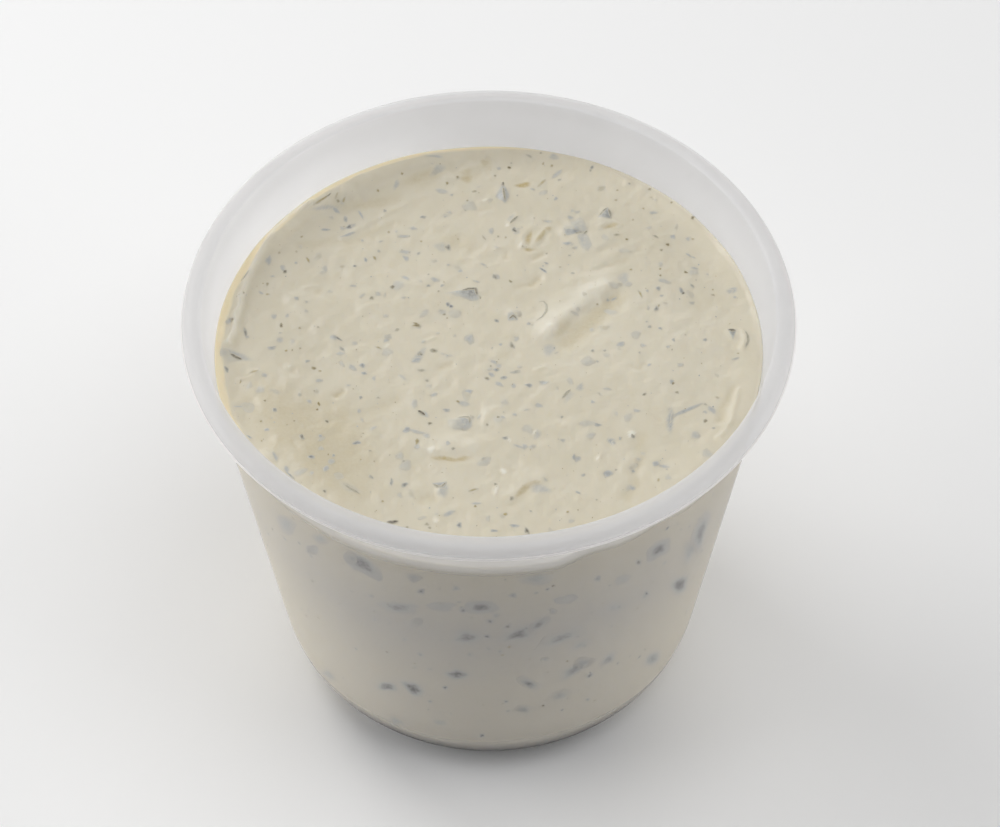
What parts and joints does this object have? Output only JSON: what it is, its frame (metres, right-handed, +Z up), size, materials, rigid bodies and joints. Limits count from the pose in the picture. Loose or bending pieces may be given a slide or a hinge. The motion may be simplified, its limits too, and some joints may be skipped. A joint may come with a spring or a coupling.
{
  "type": "tub of remoulade",
  "caption": "Round lidless tub of milky translucent plastic with an arched lip, tapering to a rounded foot, filled to just under the lip with creamy herb and pickle remoulade.",
  "frame": {"origin": "centre of the foot, on the surface that the tub stands on", "axes": "+Z up along the tub's axis; -Y towards the camera of the picture, +X to its right"},
  "size_m": [0.1344, 0.1344, 0.115],
  "materials": {
    "milky_plastic": "satin",
    "remoulade_sauce": "satin"
  },
  "bodies": {
    "root": {"tub": "milky_plastic", "remoulade": "remoulade_sauce"}
  },
  "joints": []
}
